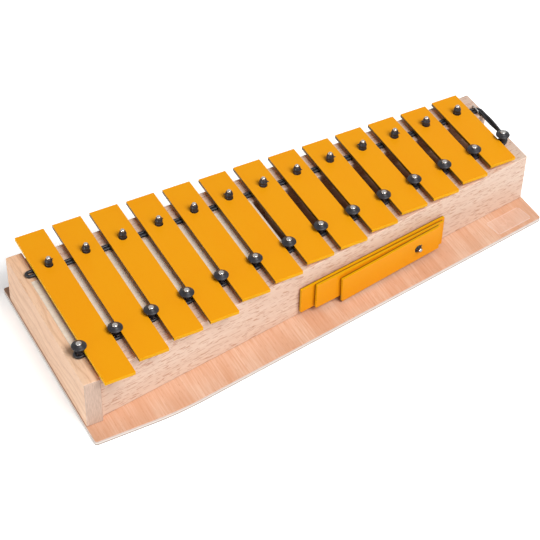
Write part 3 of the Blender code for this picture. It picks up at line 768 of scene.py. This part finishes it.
def makeSpares():
    low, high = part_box(barBodies[0])
    thickness = barTop - barBottom - spares['thinner']
    for number, body in enumerate(spareBodies):
        length = bars['firstLength'] / 2 ** (spares['steps'][number] / 24) + spares['trims'][number]
        fromHole = length * bars['nodeShare']
        piece = toneBar('spareBar{}'.format(number + 1), high.x - low.x, length, thickness,
                        length / 2 - fromHole, spareFinish, spares['edge'])
        tilt = Matrix.Rotation(math.radians(spares['tilts'][number]), 3, stowOut)
        turned = tilt @ Matrix((Vector((0, 0, -1)), faceRun, stowOut)).transposed()
        place = stowFoot + stowOut * (spares['firstGap'] + spares['pitch'] * number)
        shift = Matrix.Translation((spares['drop'], fromHole - length / 2, spares['thinner'] / 2))
        piece.data.transform(Matrix.Translation(place) @ turned.to_4x4() @ shift)
        dress(piece, None, 'bar_paint', body, body)


makeBars()
makeSpares()
print('bars built')


# Pins: steel nails, ribbed sleeves at the back and flared caps in front
# A profile holds radius and height in mm, the outer end first; a shift moves a front pin, in mm

nails = {
    'sides': 24, 'shank': 1.3 * mm, 'point': 2 * mm, 'domeSteps': 7, 'domeFoot': 0.18,
    'underside': 0.985, 'turn': 0.3}
rearPins = {  # its heights start at the bars' underside
    'sides': 28, 'foot': 3.15 * mm, 'headUnder': 9.75 * mm, 'head': 1.9 * mm, 'headHeight': 1.8 * mm,
    'profile': [(1.3, 9.7), (1.9, 9.75), (2.4, 9.55), (2.55, 9.1), (2.8, 7.6), (3.15, 7.3), (3.2, 6.9),
                (3.1, 6.5), (2.9, 6.3), (2.9, 4.9), (3.1, 4.7), (3.2, 4.4), (3.0, 4.0), (3.15, 3.2)],
    'barb': {'root': 0.75 * mm, 'tip': 0.35 * mm, 'length': 2.2 * mm, 'out': 3.2 * mm,
             'height': 6.9 * mm, 'sides': 10, 'turns': [0]},
    'barbTurns': [15, 60, 70, 10, 60, 152, -28, -40, -30, 152, -35, 160, 60],
    'girths': [0.98, 0.98, 1.0, 1.0, 1.0, 1.06, 1.06, 1.04, 1.06, 1.08, 1.06, 1.06, 1.02]}
frontPins = {  # its heights start at the bars' top
    'sides': 40, 'foot': 2.7 * mm, 'headUnder': 6.0 * mm, 'head': 2.3 * mm, 'headHeight': 1.3 * mm,
    'profile': [(1.3, 6.0), (2.3, 6.0), (2.6, 5.8), (2.9, 5.45), (4.4, 4.75), (5.5, 4.25), (5.95, 3.9),
                (6.0, 3.6), (5.85, 3.3), (5.4, 3.1), (3.8, 2.6), (2.9, 1.9)],
    'shifts': [(0.6, 0.4), (0.2, 0.6), (0.0, 0.3), (0, 0), (0, 0), (0.2, 0.0), (0.4, -0.3), (0, -0.3),
               (0, -0.5), (-0.2, -0.7), (0.0, -0.5), (-0.1, -0.7), (0.5, -0.6), (0.4, -0.3)]}


def addBarbs(mesh, barb, start):  # small moulding barbs that stand out sideways
    cage = bmesh.new()
    cage.from_mesh(mesh)
    lift = Matrix.Translation((barb['out'], 0, start + barb['height']))
    out = lift @ Matrix.Rotation(math.pi / 2, 4, 'Y')
    for turn in barb['turns']:
        place = Matrix.Rotation(math.radians(turn), 4, 'Z') @ out
        bmesh.ops.create_cone(cage, cap_ends=True, segments=barb['sides'], radius1=barb['root'],
                              radius2=barb['tip'], depth=barb['length'], matrix=place)
    bmesh.ops.remove_doubles(cage, verts=cage.verts, dist=weldDistance)
    closeMesh(cage, mesh).set_sharp_from_angle(angle=sharpAngle)


def sleeveMesh(name, look, start, foot):  # the rubber round a nail's shank
    outline = [(radius * mm, start + height * mm) for radius, height in look['profile']]
    outline += [(look['foot'], foot), (nails['shank'], foot), outline[0]]
    mesh = latheMesh(name, outline, look['sides'])
    if 'barb' in look:
        addBarbs(mesh, look['barb'], start)
    return mesh


def nailMesh(name, look, under, point):  # a domed head, a shank and a pointed end
    steps, foot, shank = nails['domeSteps'], nails['domeFoot'], nails['shank']
    profile = [(0, under + look['headHeight'])]
    for step in range(1, steps + 1):
        angle = math.pi / 2 * (1 - step / steps)
        profile.append((look['head'] * math.cos(angle),
                        under + look['headHeight'] * (foot + (1 - foot) * math.sin(angle))))
    profile += [(look['head'] * nails['underside'], under), (shank, under), (shank, point + nails['point']),
                (0, point)]
    return latheMesh(name, profile, nails['sides'])


def pinRow(name, patternMesh, spots, leans, girths, finish):
    pattern = newPiece(name + 'Pattern', patternMesh)
    mesh = bpy.data.meshes.new(name)
    mesh.from_pydata([tuple(spot) for spot in spots], [], [])
    for label, values in (('lean', leans), ('girth', girths)):
        layer = mesh.attributes.new(label, 'FLOAT_VECTOR', 'POINT')
        for item, value in zip(layer.data, values):
            item.vector = value
    piece = settle(grow(newPiece(name, mesh), pinTree, {'Pin': pattern, 'Material': finish}))
    bpy.data.objects.remove(pattern, do_unlink=True)
    return piece


def makePins():
    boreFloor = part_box(frontNodes[0])[0].z
    leans = [(0, 0, math.radians(turn)) for turn in rearPins['barbTurns']]
    girths = [(girth, girth, 1) for girth in rearPins['girths']]
    still = [(0, 0, nails['turn'] * k) for k in range(len(frontNodes))]
    plain = [(1, 1, 1)] * len(frontNodes)
    shifted = [spot + Vector((x * mm, y * mm, 0))
               for spot, (x, y) in zip(frontSpots, frontPins['shifts'])]
    sleeve = sleeveMesh('rearSleeve', rearPins, barBottom, barBottom)
    cap = sleeveMesh('frontCap', frontPins, barTop, barBottom)
    rearNail = nailMesh('rearNail', rearPins, barBottom + rearPins['headUnder'], boreFloor)
    frontNail = nailMesh('frontNail', frontPins, barTop + frontPins['headUnder'], boreFloor)
    for name, mesh, spots, turns, sizes, look, nodes in (
            ('rearSleeves', sleeve, rearSpots, leans, girths, rubber, rearNodes),
            ('rearNails', rearNail, rearSpots, still, plain, steel, rearNodes),
            ('frontCaps', cap, shifted, still, plain, rubber, frontNodes),
            ('frontNails', frontNail, shifted, still, plain, steel, frontNodes)):
        dress(pinRow(name, mesh, spots, turns, sizes, look[0]), *look, boxBody, *nodes)


makePins()
print('pins built')


# Cord: one endless loop laid double along both rows of pins and across the open right end

cord = {
    'radius': 1.4 * mm, 'thin': 1.2 * mm, 'sides': 16, 'spread': 3.2 * mm, 'near': 1.62 * mm,
    'touch': 1.17 * mm, 'bow': 0.05, 'sharp': 1.83, 'bend': 3.6 * mm, 'runInset': 4.5 * mm,
    'loop': 2.5 * mm, 'loopLead': 4.3 * mm, 'loopShift': 2.0 * mm, 'stretch': 1.6, 'flare': 1.05,
    'stack': math.radians(63), 'quickShare': 0.16, 'slowStart': 0.12, 'pinSteps': 8, 'bendSteps': 12,
    'closeSteps': 8, 'runSteps': 33, 'loopSteps': 16}
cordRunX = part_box('base_board')[1].x - cord['runInset']
rowAngle = math.atan(frontSlope)


def between(first, second, share):
    return first + (second - first) * share


def pinSpread(turn):  # half the strands' spacing: wide at a pin, narrow between two
    return between(cord['near'], cord['spread'], (0.5 + 0.5 * math.cos(turn)) ** cord['sharp'])


def pairLine():  # the doubled cord's middle: place, half spacing, twist and strand radius
    line = []
    steps, bendSteps, runSteps = cord['pinSteps'], cord['bendSteps'], cord['runSteps']
    for k in range((len(frontNodes) - 1) * steps + 1):
        turn = 2 * math.pi * k / steps
        x = frontFirst + pitch * (k / steps - cord['bow'] * math.sin(turn))
        line.append((x, frontRow(x), pinSpread(turn), 0.0, cord['radius']))
    startX, startY = line[-1][:2]
    bend = (cordRunX - startX) / (1 - math.sin(rowAngle))
    for step in range(1, bendSteps + 1):
        angle = between(rowAngle, math.pi / 2, step / bendSteps)
        share = min(1, step / cord['closeSteps'])
        line.append((startX + bend * (math.sin(angle) - math.sin(rowAngle)),
                     startY + bend * (math.cos(rowAngle) - math.cos(angle)),
                     between(cord['spread'], cord['touch'], share), 0.0,
                     between(cord['radius'], cord['thin'], share)))
    turnY = rearRow(cordRunX - cord['bend']) - cord['bend']
    freeY = line[-1][1]
    twistStart = frontRow(cordRunX) + rails['frontInner']
    twistEnd = rearRow(cordRunX) - rails['rearInner'] - cord['radius']
    for step in range(1, runSteps):
        y = between(freeY, turnY, step / runSteps)
        share = min(1, max(0, (y - twistStart) / (twistEnd - twistStart)))
        quick = min(1, share / cord['quickShare'])
        slow = max(0, share - cord['slowStart']) / (1 - cord['slowStart'])
        twist = cord['stack'] * quick * quick * (3 - 2 * quick) + (math.pi - cord['stack']) * slow
        line.append((cordRunX, y, cord['touch'], twist, cord['thin']))
    for step in range(bendSteps + 1):
        share = step / bendSteps
        angle = math.pi / 2 * share
        line.append((cordRunX - cord['bend'] * (1 - math.cos(angle)),
                     turnY + cord['bend'] * math.sin(angle),
                     between(cord['touch'], cord['near'], share), math.pi,
                     between(cord['thin'], cord['radius'], share)))
    for k in range((len(rearNodes) - 1) * steps + 1):
        x = rearLast - pitch * k / steps
        line.append((x, rearRow(x), pinSpread(2 * math.pi * k / steps), math.pi, cord['radius']))
    return line


def strand(x, y):
    return Vector((x, y, cordAxis)), cord['radius']


def halfTurn(x, y, radius, start, sweep):  # a strand's places round half a circle
    angles = [start + sweep * step / cord['loopSteps'] for step in range(cord['loopSteps'] + 1)]
    return [strand(x + radius * math.cos(angle), y + radius * math.sin(angle)) for angle in angles]


def cordRoute():
    line = pairLine()
    first = []
    second = []
    for index, (x, y, spread, twist, radius) in enumerate(line):
        before = line[max(index - 1, 0)]
        after = line[min(index + 1, len(line) - 1)]
        way = Vector((after[0] - before[0], after[1] - before[1], 0)).normalized()
        side = Vector((-way.y, way.x, 0)) * math.cos(twist) + Vector((0, 0, math.sin(twist)))
        centre = Vector((x, y, cordAxis))
        first.append((centre + side * spread, radius))
        second.append((centre - side * spread, radius))
    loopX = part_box('end_board')[1].x - cord['loopLead']
    loopY = rearRow(loopX) + cord['loopShift']
    reach = cord['loop'] * cord['stretch']
    flare = cord['loop'] * cord['flare']
    rearLoop = halfTurn(loopX, loopY, cord['loop'], math.pi / 2, math.pi)
    frontLoop = halfTurn(frontFirst, frontRow(frontFirst), cord['spread'],
                         rowAngle - math.pi / 2, -math.pi)
    return [*first, strand(loopX + reach, loopY + flare), *rearLoop,
            strand(loopX + reach, loopY - flare), *reversed(second), *frontLoop[1:-1]]


tubePiece('barCord', 'bar_cord', cordRoute(), cord['radius'], cord['sides'], rubber, closed=True)


# Staple over the cord, stowage pin and label

staple = {'wire': 0.6 * mm, 'bend': 0.9 * mm, 'bendSteps': 8, 'sides': 14}


def makeStaple():
    low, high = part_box('cord_staple')
    middle = (low + high) / 2
    half = (high.y - low.y) / 2 - staple['wire']
    crown = high.z - staple['wire']
    leg = [(-half, low.z)]
    for step in range(staple['bendSteps'] + 1):
        angle = math.pi / 2 * step / staple['bendSteps']
        leg.append(((1 - math.cos(angle)) * staple['bend'] - half,
                    crown - (1 - math.sin(angle)) * staple['bend']))
    points = leg + [(-side, up) for side, up in reversed(leg)]
    route = [((middle.x, middle.y + side, up), staple['wire']) for side, up in points]
    tubePiece('cordStaple', 'cord_staple', route, staple['wire'], staple['sides'], steel)


stow = {  # its heights start at the sleeve's outer end
    'sleeveLength': 12.8 * mm, 'gap': 0.3 * mm, 'depth': 16 * mm, 'headGap': 0.1 * mm, 'sides': 28,
    'foot': 2.7 * mm,
    'profile': [(1.3, 0), (1.9, 0), (2.4, -0.2), (2.55, -1.4), (3.05, -1.9), (3.05, -2.5), (2.7, -2.9)],
    'barb': {'root': 0.8 * mm, 'tip': 0.35 * mm, 'length': 2.0 * mm, 'out': 3.15 * mm,
             'height': -2.2 * mm, 'sides': 10, 'turns': [35, 215]}}


def makeStowPin():
    turned = Matrix((faceRun, Vector((0, 0, 1)), stowOut)).transposed()
    place = Matrix.Translation(stowFoot) @ turned.to_4x4()
    end = stow['gap'] + stow['sleeveLength']
    sleeve = sleeveMesh('stowSleeve', stow, end, stow['gap'])
    nail = nailMesh('stowNail', rearPins, end + stow['headGap'], -stow['depth'])
    for mesh, look, node in ((sleeve, rubber, 'stow_sleeve'), (nail, steel, 'stow_nail')):
        mesh.transform(place)
        dress(newPiece(mesh.name, mesh), *look, boxBody, node)


label = {
    'length': 37 * mm, 'width': 17 * mm, 'corner': 2.0 * mm, 'cornerSteps': 10, 'edge': 0.1 * mm,
    'lift': 0.02 * mm, 'thickness': 0.25 * mm, 'film': (0.95, 0.80, 0.76), 'filmAmount': 0.14,
    'rim': (0.95, 0.82, 0.76), 'rimRange': (0.2 * mm, 0.6 * mm), 'rimAmount': 0.55,
    'wave': ((90, 90, 90), 2.0), 'roughness': 0.26, 'roughSpread': 0.1, 'relief': (0.10, 0.3 * mm),
    'specular': 0.45, 'coat': 0.3, 'coatRoughness': 0.12}


def labelFinish(name, centre):  # clear film over the veneer, with a pale rim
    made, board = newFinish(name)
    base = woodGrain(board, board.spot(veneerLook['turn']), veneerLook)[0]
    run, side = board.split(board.spot(frontTurn, tuple(centre)))[:2]
    inX = label['length'] / 2 - run.math('ABSOLUTE')
    inY = label['width'] / 2 - side.math('ABSOLUTE')
    rim = 1 - board.ease(inX.math('MINIMUM', inY), *label['rimRange'])
    base = board.blend(label['filmAmount'], base, label['film'])
    base = board.blend(rim * label['rimAmount'], base, label['rim'])
    wave = board.noise(board.spot(), *label['wave'])
    board.skin({'Specular IOR Level': label['specular'], 'Coat Weight': label['coat'],
                'Coat Roughness': label['coatRoughness']},
               {'Base Color': base, 'Roughness': label['roughness'] + (wave - 0.5) * label['roughSpread'],
                'Normal': board.bump(wave, label['relief'])})
    return made


def makeLabel():
    centre = middleOf('label')
    x, y = label['length'] / 2, label['width'] / 2
    outline = roundedOutline([(-x, y), (-x, -y), (x, -y), (x, y)], [label['corner']] * 4,
                             label['cornerSteps'])
    piece = slabPiece('labelFilm', outline, 0, label['thickness'])
    piece.data.transform(Matrix.Translation((centre.x, centre.y, baseTop + label['lift']))
                         @ Matrix.Rotation(frontTurn, 4, 'Z'))
    roundOff(piece, label['edge'], 2)
    dress(settle(piece), labelFinish('labelFilm', centre), 'label_film', boxBody, 'label')


makeStaple()
makeStowPin()
makeLabel()
print('cord, staple, stowage pin and label built')


# Floor, light and camera

stage = {'floorSize': 12.0, 'floorColour': 0.93, 'glow': 0.48, 'fill': 0.15}
softboxes = {
    'mainLight': {'toward': (0.18, -0.57, 0.80), 'away': 4.0, 'size': (2.1, 2.1), 'power': 167.0},
    'sideLight': {'toward': (-0.96, -0.27, 0.06), 'away': 4.0, 'size': (1.8, 0.40), 'power': 66.0}}
camera = {
    'place': (-0.52507, -0.90420, 1.01084), 'right': (0.88161, -0.47157, 0.01967),
    'down': (-0.31550, -0.61979, -0.71855), 'lens': 116.31, 'sensor': 36.0, 'clipStart': 0.01}


def seenDirectly(board):  # 1 for rays from the camera, off shiny surfaces and through clear ones
    path = board.node('ShaderNodeLightPath', {}, {}, 'Is Camera Ray')
    return (path + path.other('Is Glossy Ray') + path.other('Is Transmission Ray')).math('MINIMUM', 1.0)


def makeFloor():
    half = stage['floorSize'] / 2
    mesh = bpy.data.meshes.new('floor')
    corners = [(-half, -half, 0), (half, -half, 0), (half, half, 0), (-half, half, 0)]
    mesh.from_pydata(corners, [], [(0, 1, 2, 3)])
    made, board = newFinish('paleFloor')
    tone = stage['floorColour']
    shade = board.node('ShaderNodeBsdfDiffuse', {}, {'Color': (tone, tone, tone, 1)})
    glow = board.node('ShaderNodeEmission', {}, {'Color': (1, 1, 1, 1),
                                                 'Strength': seenDirectly(board) * stage['glow']})
    board.show(board.node('ShaderNodeAddShader', {}, [shade, glow]), 'ShaderNodeOutputMaterial')
    mesh.materials.append(made)
    floor = newPiece('floor', mesh)


def makeWorld():
    world = bpy.data.worlds.new('studio')
    bpy.context.scene.world = world
    world.use_nodes = True
    world.node_tree.nodes.clear()
    board = Board(world.node_tree)
    strength = stage['fill'] + seenDirectly(board) * (1 - stage['fill'])
    back = board.node('ShaderNodeBackground', {}, {'Color': (1, 1, 1, 1), 'Strength': strength})
    board.show(back, 'ShaderNodeOutputWorld')


def softLight(name, look):
    data = bpy.data.lights.new(name, 'AREA')
    data.shape = 'RECTANGLE'
    data.size, data.size_y = look['size']
    data.energy = look['power']
    lamp = newPiece(name, data)
    toward = Vector(look['toward']).normalized()
    lamp.location = toward * look['away']
    lamp.rotation_euler = (-toward).to_track_quat('-Z', 'Y').to_euler()


def makeCamera():
    data = bpy.data.cameras.new('camera')
    data.lens = camera['lens']
    data.sensor_width = camera['sensor']
    data.sensor_fit = 'HORIZONTAL'
    data.clip_start = camera['clipStart']
    eye = newPiece('camera', data)
    right, up = Vector(camera['right']), -Vector(camera['down'])
    axes = Matrix((right, up, right.cross(up))).transposed()
    eye.matrix_world = Matrix.Translation(camera['place']) @ axes.to_4x4()
    bpy.context.scene.camera = eye


makeFloor()
makeWorld()
for name, look in softboxes.items():
    softLight(name, look)
makeCamera()
bpy.context.scene.view_settings.view_transform = 'Standard'

print('scene ready')
